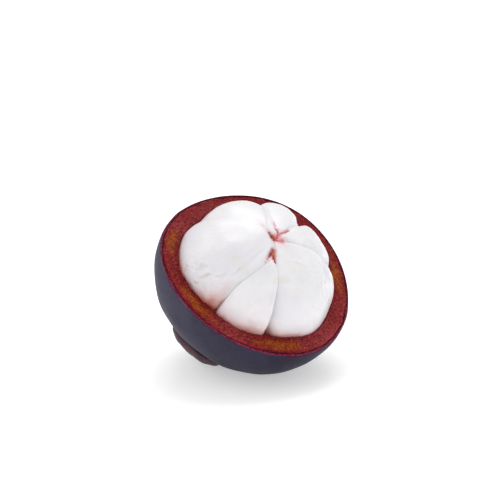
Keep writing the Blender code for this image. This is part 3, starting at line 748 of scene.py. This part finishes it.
def sepal_piece(name):
    """A calyx lobe: flat lens sections from the stem to the tip, laid on the skin.

    Half width is a power mean of a share of the distance from the pole and a limit, closed to a blunt tip.
    The upper side is crowned by the root of one less the cube of the cosine. Veins fan out from the foot as a
    cosine of the place across, and the rim waves.
    """
    middle, reach, half_width, thick, bed, curl, seed = SEPALS[name]
    root = STEM_RADIUS * STEM_FLARE + GAP
    angle = whole_turn(SEPAL_SIDES)
    share = ((1.0 - np.cos(np.linspace(0.0, math.pi, SEPAL_RINGS + 2))) / 2.0)[1:-1, None]
    along = root + (reach - root) * share
    width = ((FOOT_SPREAD * along) ** -4.0 + half_width ** -4.0) ** -0.25
    closing = np.clip((share - TIP_STARTS) / (1.0 - TIP_STARTS), 0.0, 1.0) ** TIP_POWER
    uneven = 1.0 + RIM_UNEVEN * np.cos(3.0 * math.pi * share + seed) * np.cos(angle)
    across = width * np.sqrt(1.0 - closing) * np.cos(angle) * uneven
    crowned = np.sqrt(1.0 - np.abs(np.cos(angle)) ** RIM_POWER)
    ends = np.minimum(1.0, FOOT_THIN + FOOT_THICKENS * share) * np.sqrt(1.0 - share ** TIP_THINS_POWER)
    upper_side = np.arange(SEPAL_SIDES)[None, :] <= SEPAL_SIDES // 2
    place = np.stack((across, along * np.ones_like(across)), axis=-1)
    fan = VEIN_COUNT * np.arctan2(across, along + VEIN_ORIGIN)
    veins = np.cos(fan + 0.6 * ripple(place, 0.006, seed))
    dents = ripple(place, SEPAL_DENT_SIZE, seed + 7)
    rim = np.abs(np.cos(angle)) ** 6.0
    wave = RIM_WAVE * rim * (1.0 + np.cos(9.0 * math.pi * share + seed)) * smooth_step(share, 0.1, 0.4)
    proud = GAP + bed * (1.0 - share) + curl * share ** CURL_POWER + wave
    relief = crowned * (VEIN_HEIGHT * veins + SEPAL_DENT * dents)
    proud = proud + upper_side * (thick * ends * crowned + RIM_THICK / 2.0 + relief)
    azimuth = math.radians(middle) - np.arctan2(across, along)
    latitude = np.hypot(along, across) / POLE_RADIUS - math.pi / 2.0
    rings = set_down(skin_point(azimuth, latitude, proud))
    near_rim = np.maximum(rim, smooth_step(share, 0.86, 1.0)) * np.ones_like(across)
    return closed_loft(name + "_lobe", rings, rings[0].mean(axis=0), rings[-1].mean(axis=0),
                       dict(vein=veins * upper_side, rim=near_rim))


def stem_piece():
    """The stem stub: a four-sided circle times a waisted profile, with fine bark and a dished cut end."""
    azimuth = whole_turn(STEM_SIDES)
    share = np.linspace(1.0, 0.0, STEM_RINGS)[:, None]
    stops, widths = np.array(STEM_PROFILE).T
    width = np.interp(share, stops, widths)
    round_end = np.sqrt(1.0 - STEM_EDGE_ROUND * smooth_step(share, 0.94, 1.0) ** 2)
    radius = STEM_RADIUS * width * round_end * (1.0 + STEM_SQUARENESS * np.cos(4.0 * azimuth))
    radius = radius + ripples(upright(1.0, azimuth, BARK_STRETCH * share), BARK)
    level = -POLE_RADIUS - GAP - STEM_LENGTH * share
    side = upright(radius, azimuth, level)
    inward = np.linspace(0.06, 0.96, STEM_END_RINGS)[:, None]
    end = upright(radius[0] * inward, azimuth, level[0] + STEM_DISH * (1.0 - inward ** 6))
    end[..., 2] += STEM_END_GRAIN * ripple(end[..., :2], 0.0009, seed=63, count=30)
    cut_end = np.concatenate((np.ones((len(end), STEM_SIDES)), np.zeros((len(side), STEM_SIDES))))
    return closed_loft("stem_stub", set_down(np.concatenate((end, side))), set_down(end[0].mean(axis=0)),
                       set_down(side[-1].mean(axis=0)), dict(cut_end=cut_end))


# ---- finishes

def shade(red, green, blue):
    """A colour from its 0 to 255 display values, made linear."""
    values = np.array((red, green, blue)) / 255.0
    linear = np.where(values <= 0.04045, values / 12.92, ((values + 0.055) / 1.055) ** 2.4)
    return (*[float(v) for v in linear], 1.0)


class Finish:
    """A Principled material under way: each call adds a node and gives back its output."""

    def __init__(self, name):
        self.material = bpy.data.materials.new(name)
        self.material.use_nodes = True
        self.tree = self.material.node_tree
        self.shader = self.tree.nodes["Principled BSDF"]
        self.place = self.add("ShaderNodeTexCoord").outputs["Object"]

    def add(self, kind, **settings):
        """A new node of a kind, with its settings."""
        node = self.tree.nodes.new(kind)
        for name, value in settings.items():
            setattr(node, name, value)
        return node

    def feed(self, socket, value):
        """Link an output to a socket, or set a plain value on it."""
        if isinstance(value, bpy.types.NodeSocket):
            self.tree.links.new(value, socket)
        else:
            socket.default_value = value

    def surface(self, **values):
        """Set the shader's own sockets, by name with underscores for spaces."""
        for name, value in values.items():
            self.feed(self.shader.inputs[name.replace("_", " ")], value)

    def attribute(self, name, output="Fac"):
        """An attribute that the mesh carries."""
        return self.add("ShaderNodeAttribute", attribute_name=name).outputs[output]

    def noise(self, size, detail=3.0, roughness=0.55, place=None):
        """Noise whose lumps are about size metres across, or units of the place given."""
        node = self.add("ShaderNodeTexNoise")
        self.feed(node.inputs["Vector"], place or self.place)
        self.feed(node.inputs["Scale"], 1.0 / size)
        self.feed(node.inputs["Detail"], detail)
        self.feed(node.inputs["Roughness"], roughness)
        return node.outputs["Fac"]

    def cells(self, size):
        """Distance to the nearest of many scattered middles, about size metres apart, over that size."""
        node = self.add("ShaderNodeTexVoronoi")
        self.feed(node.inputs["Vector"], self.place)
        self.feed(node.inputs["Scale"], 1.0 / size)
        return node.outputs["Distance"]

    def spread(self, value, low, high, to_low=0.0, to_high=1.0):
        """A smooth step of the value from low to high, drawn out from to_low to to_high."""
        node = self.add("ShaderNodeMapRange", interpolation_type="SMOOTHSTEP")
        for socket, number in zip(("Value", "From Min", "From Max", "To Min", "To Max"),
                                  (value, low, high, to_low, to_high)):
            self.feed(node.inputs[socket], number)
        return node.outputs["Result"]

    def math(self, kind, first, second=0.0):
        """A kind of sum on two values."""
        node = self.add("ShaderNodeMath", operation=kind)
        self.feed(node.inputs[0], first)
        self.feed(node.inputs[1], second)
        return node.outputs[0]

    def times(self, first, second):
        """The product of two values."""
        return self.math("MULTIPLY", first, second)

    def mix(self, share, first, second):
        """The first colour, with a share of the second in its place."""
        node = self.add("ShaderNodeMix", data_type="RGBA")
        self.feed(node.inputs[0], share)
        self.feed(node.inputs[6], first)
        self.feed(node.inputs[7], second)
        return node.outputs[2]

    def clouded(self, first, second, size, low, high, most=1.0, detail=3.0, roughness=0.55):
        """The first colour, with the second in it by up to most where a noise goes from low to high."""
        cloud = self.spread(self.noise(size, detail, roughness), low, high, 0.0, most)
        return self.mix(cloud, first, second)

    def specks(self, spacing, rim, core, cluster, low, high):
        """Dots at the middles of cells, in clusters where a broader noise rises from low to high."""
        dots = self.spread(self.cells(spacing), rim, core)
        return self.times(dots, self.spread(self.noise(cluster, 2.0), low, high))

    def ramp(self, value, *stops):
        """Colours at stops along a value."""
        node = self.add("ShaderNodeValToRGB")
        ramp = node.color_ramp
        while len(ramp.elements) < len(stops):
            ramp.elements.new(0.5)
        for element, (position, colour) in zip(ramp.elements, stops):
            element.position = position
            element.color = colour
        self.feed(node.inputs["Fac"], value)
        return node.outputs["Color"]

    def bump(self, height, distance, strength=1.0):
        """A normal tilted by a height, whose full step is a distance in metres."""
        node = self.add("ShaderNodeBump")
        self.feed(node.inputs["Height"], height)
        self.feed(node.inputs["Distance"], distance)
        self.feed(node.inputs["Strength"], strength)
        return node.outputs["Normal"]


def skin_finish():
    """Slate-purple skin, clouded, with a pale waxy bloom that also paints light on the lit side, and a few
    pale specks.
    """
    f = Finish("mangosteen_skin")
    skin = f.clouded(shade(32, 29, 46), shade(43, 40, 60), 0.016, 0.35, 0.68, detail=4.0)
    # the bloom together with painted light: paler on the left side and up the skin
    bloom_and_light = f.times(f.attribute("bloom_and_light"), f.spread(f.noise(0.007, 4.0, 0.6), 0.25, 0.7, 0.55, 1.0))
    skin = f.mix(f.times(bloom_and_light, 0.75), skin, shade(78, 75, 95))
    skin = f.clouded(skin, shade(62, 58, 77), 0.0050, 0.42, 0.72, 0.35, 4.0, 0.65)
    skin = f.clouded(skin, shade(26, 22, 34), 0.0006, 0.45, 0.75, 0.4)
    pale_specks = f.specks(0.0021, 0.11, 0.05, 0.004, 0.54, 0.60)
    skin = f.mix(f.times(pale_specks, 0.6), skin, shade(150, 147, 158))
    f.surface(Base_Color=skin, Roughness=0.58, Normal=f.bump(f.noise(0.00055, 3.0), 0.00003),
              Specular_IOR_Level=0.13)
    return f.material


def cut_rind_finish():
    """The cut face: magenta skin line, dark line, wine rind with ochre patches and specks of painted
    highlight, and a redder pocket wall.
    """
    f = Finish("mangosteen_cut_rind")
    across = f.attribute("across")
    skin_edge = f.attribute("skin_edge")
    grain = f.noise(0.0007, 4.0, 0.7)
    blotch = f.noise(0.0032, 4.0, 0.6)
    wobbled = f.math("ADD", across, f.spread(blotch, 0.25, 0.75, -0.10, 0.10))
    wine = f.ramp(wobbled, (0.0, shade(120, 14, 32)), (0.28, shade(150, 33, 36)), (0.62, shade(138, 27, 28)),
                  (0.86, shade(120, 15, 22)), (1.0, shade(144, 18, 24)))
    rosy = f.times(f.attribute("rosy"), f.spread(blotch, 0.25, 0.6, 0.55, 1.0))
    wine = f.mix(f.times(rosy, 0.75), wine, shade(182, 74, 80))
    gold = f.ramp(wobbled, (0.0, shade(124, 28, 26)), (0.24, shade(168, 72, 26)), (0.6, shade(170, 80, 14)),
                  (0.86, shade(130, 34, 14)), (1.0, shade(140, 22, 20)))
    ragged = f.math("ADD", f.attribute("ochre"), f.spread(blotch, 0.25, 0.75, -0.28, 0.28))
    rind = f.mix(f.spread(ragged, 0.2, 0.7), wine, gold)
    rind = f.mix(f.spread(grain, 0.42, 0.58, 0.6, 0.0), rind, shade(62, 4, 12))
    rind = f.clouded(rind, shade(88, 8, 16), 0.0015, 0.50, 0.30, 0.45, roughness=0.6)
    # pale pink specks: painted highlights, glints on the moist cut grain
    rind = f.clouded(rind, shade(212, 112, 98), 0.00042, 0.56, 0.72, 0.6, detail=2.0)
    wall = f.mix(f.spread(grain, 0.35, 0.65), shade(118, 8, 20), shade(164, 22, 34))
    rind = f.mix(f.attribute("pocket"), rind, wall)
    dark_line = f.times(f.spread(skin_edge, 0.30, 0.50), f.spread(skin_edge, 1.0, 0.70))
    rind = f.mix(f.times(dark_line, f.spread(blotch, 0.35, 0.58, 0.4, 1.0)), rind, shade(40, 3, 12))
    magenta = f.mix(f.spread(grain, 0.35, 0.65), shade(84, 10, 42), shade(156, 48, 92))
    worn = f.spread(f.noise(0.0018), 0.35, 0.55, 0.45, 1.0)
    rind = f.mix(f.times(f.spread(skin_edge, 0.46, 0.26), worn), rind, magenta)
    f.surface(Base_Color=rind, Roughness=f.spread(blotch, 0.3, 0.7, 0.42, 0.6),
              Normal=f.bump(grain, 0.00022, 0.8), Specular_IOR_Level=0.08)
    return f.material


def flesh_finish():
    """Moist white pulp: light carried under the surface, faint strands, a pink blush that is partly painted
    glow from the red rind, painted shade in folds and beside seams, and a few red marks.
    """
    f = Finish("mangosteen_flesh")
    fibre = f.attribute("fibre", "Vector")
    strands = f.noise(0.9, 4.0, 0.6, fibre)
    white = f.clouded(shade(241, 239, 244), shade(250, 248, 251), 0.009, 0.35, 0.7)
    white = f.mix(f.spread(strands, 0.55, 0.8, 0.0, 0.22), white, shade(226, 226, 232))
    white = f.clouded(white, shade(237, 235, 228), 0.0055, 0.52, 0.72, 0.6)
    grey_specks = f.specks(0.0034, 0.085, 0.05, 0.006, 0.60, 0.66)
    white = f.mix(f.times(grey_specks, 0.5), white, shade(188, 184, 176))
    broken = f.noise(0.0016, 4.0, 0.65)
    # pink blush beside the rind: partly the flesh's own tint, partly painted glow from the red rind
    blush_and_glow = f.times(f.attribute("blush_and_glow"), f.spread(broken, 0.2, 0.8, 0.85, 1.0))
    colour = f.mix(f.spread(blush_and_glow, 0.0, 0.45), white, shade(224, 198, 197))
    colour = f.mix(f.spread(blush_and_glow, 0.25, 0.85), colour, shade(208, 146, 132))
    # orange edge at the cut: partly the flesh's own tint, partly painted glow from the red rind
    edge = f.times(f.attribute("edge"), f.spread(broken, 0.3, 0.6, 0.4, 1.0))
    colour = f.mix(edge, colour, shade(204, 92, 62))
    # painted shade, greyish, in the fold grooves and beside the smallest segment's seams
    colour = f.mix(f.times(f.attribute("painted_shade"), 0.32), colour, shade(196, 191, 180))
    red = f.times(f.attribute("redness"), f.spread(broken, 0.3, 0.62, 0.25, 1.15))
    colour = f.mix(red, colour, shade(226, 14, 68))
    colour = f.mix(f.attribute("amber"), colour, shade(222, 120, 52))
    dark = f.times(f.attribute("darkness"), f.spread(broken, 0.3, 0.6, 0.5, 1.0))
    colour = f.mix(dark, colour, shade(140, 26, 2))
    normal = f.bump(f.math("ADD", strands, f.times(f.noise(0.0009), 0.5)), 0.00007, 0.6)
    f.surface(Base_Color=colour, Normal=normal, Roughness=0.36, Subsurface_Weight=0.35,
              Subsurface_Radius=(1.0, 0.82, 0.76), Subsurface_Scale=0.0018, Specular_IOR_Level=0.42,
              Coat_Weight=0.12, Coat_Roughness=0.22)
    return f.material


def sepal_finish():
    """Leathery calyx: purple-brown, mottled olive, with finer veins and a pinkish-red rim."""
    f = Finish("mangosteen_calyx")
    colour = f.clouded(shade(46, 43, 57), shade(74, 65, 77), 0.0055, 0.35, 0.65, detail=4.0, roughness=0.6)
    colour = f.clouded(colour, shade(96, 84, 48), 0.011, 0.56, 0.72, 0.6)
    colour = f.mix(f.times(f.attribute("vein"), 0.22), colour, shade(132, 84, 76))
    colour = f.mix(f.spread(f.attribute("rim"), 0.5, 1.0, 0.0, 0.7), colour, shade(104, 64, 76))
    colour = f.clouded(colour, shade(42, 28, 36), 0.0006, 0.5, 0.75, 0.5)
    f.surface(Base_Color=colour, Roughness=0.55, Normal=f.bump(f.noise(0.0007, 4.0), 0.00009, 0.7),
              Specular_IOR_Level=0.3, Sheen_Weight=0.08, Sheen_Roughness=0.5, Sheen_Tint=shade(200, 190, 200))
    return f.material


def stem_finish():
    """Woody stub: yellow-green bark with brown scurf, and a darker cut end."""
    f = Finish("mangosteen_stem")
    streaks = f.noise(0.0016, 4.0, 0.6)
    colour = f.mix(f.spread(streaks, 0.35, 0.65), shade(126, 116, 52), shade(98, 72, 44))
    colour = f.clouded(colour, shade(64, 44, 34), 0.0005, 0.5, 0.72, 0.7)
    end = f.clouded(shade(74, 50, 36), shade(128, 96, 66), 0.0006, 0.4, 0.65)
    colour = f.mix(f.attribute("cut_end"), colour, end)
    f.surface(Base_Color=colour, Roughness=0.7, Normal=f.bump(streaks, 0.0001, 0.8))
    return f.material


# ---- the object

dress(rind_piece(), "rind", "rind_skin", skin_finish(), cut_rind_finish())
pulp = flesh_finish()
for index, node in enumerate(SEGMENTS):
    dress(flesh_piece(node, FLESH_SEED + SEEDS_A_SEGMENT * index), node, "aril_white", pulp)
leather = sepal_finish()
for node in SEPALS:
    dress(sepal_piece(node), node, "sepal_leather", leather)
dress(stem_piece(), "stem", "stem_wood", stem_finish())


# ---- floor, light and camera

FLOOR_HALF = 4.0
FLOOR_GLOW = 0.42
SKY_STRENGTH = 0.66
LIT_MIDDLE = Vector((0.0, 0.0, 0.03))
# square area lights: azimuth, elevation, distance, side and power in watts
LIGHTS = {"key_above_behind": (138.0, 64.0, 0.9, 0.6, 3.0), "fill_upper_left": (-95.0, 50.0, 1.0, 0.8, 0.7),
          "fill_upper_right": (80.0, 50.0, 1.0, 0.8, 0.4)}
CAMERA_AZIMUTH = math.radians(-34.68)
CAMERA_ELEVATION = math.radians(16.0)
CAMERA_DISTANCE = 0.400
AIM_RIGHT = -0.00526  # of the view's middle from the body centre
AIM_UP = 0.01090
LENS = 94.2


def floor():
    """One pale square, level with the fruit's lowest point."""
    corners = [(x * FLOOR_HALF, y * FLOOR_HALF, 0.0) for x, y in ((-1, -1), (1, -1), (1, 1), (-1, 1))]
    mesh = bpy.data.meshes.new("floor")
    mesh.from_pydata(corners, [], [(0, 1, 2, 3)])
    f = Finish("pale_floor")
    f.surface(Base_Color=(0.9, 0.9, 0.9, 1.0), Roughness=0.9, Specular_IOR_Level=0.0,
              Emission_Color=(1.0, 1.0, 1.0, 1.0), Emission_Strength=FLOOR_GLOW)
    mesh.materials.append(f.material)
    piece = new_object("floor", mesh)


def bearing(azimuth, elevation):
    """Unit vector from the fruit at an azimuth and elevation in radians; azimuth 0 is the -Y side."""
    return Vector(directions(azimuth - math.pi / 2.0, elevation))


def soft_light(name, azimuth, elevation, distance, side, power):
    """A square area light round the fruit, turned to face its middle."""
    data = bpy.data.lights.new(name, "AREA")
    data.size = side
    data.energy = power
    away = bearing(math.radians(azimuth), math.radians(elevation))
    turn = away.to_track_quat("Z", "Y").to_matrix().to_4x4()
    new_object(name, data).matrix_world = Matrix.Translation(LIT_MIDDLE + away * distance) @ turn


def camera():
    """The camera, its distance back from a point beside the body centre."""
    right = Vector((math.cos(CAMERA_AZIMUTH), math.sin(CAMERA_AZIMUTH), 0.0))
    back = bearing(CAMERA_AZIMUTH, CAMERA_ELEVATION)
    up = back.cross(right)
    data = bpy.data.cameras.new("camera")
    data.lens = LENS
    data.clip_start = 0.01
    eye = new_object("camera", data)
    turn = Matrix((right, up, back)).transposed().to_4x4()
    spot = Vector(PLACE) + right * AIM_RIGHT + up * AIM_UP + back * CAMERA_DISTANCE
    eye.matrix_world = Matrix.Translation(spot) @ turn
    bpy.context.scene.camera = eye


floor()
for light, settings in LIGHTS.items():
    soft_light(light, *settings)
camera()

world = bpy.data.worlds.new("studio")
world.use_nodes = True
sky = world.node_tree.nodes["Background"]
sky.inputs["Color"].default_value = (1.0, 1.0, 1.0, 1.0)
sky.inputs["Strength"].default_value = SKY_STRENGTH
bpy.context.scene.world = world
bpy.context.scene.view_settings.view_transform = "Standard"
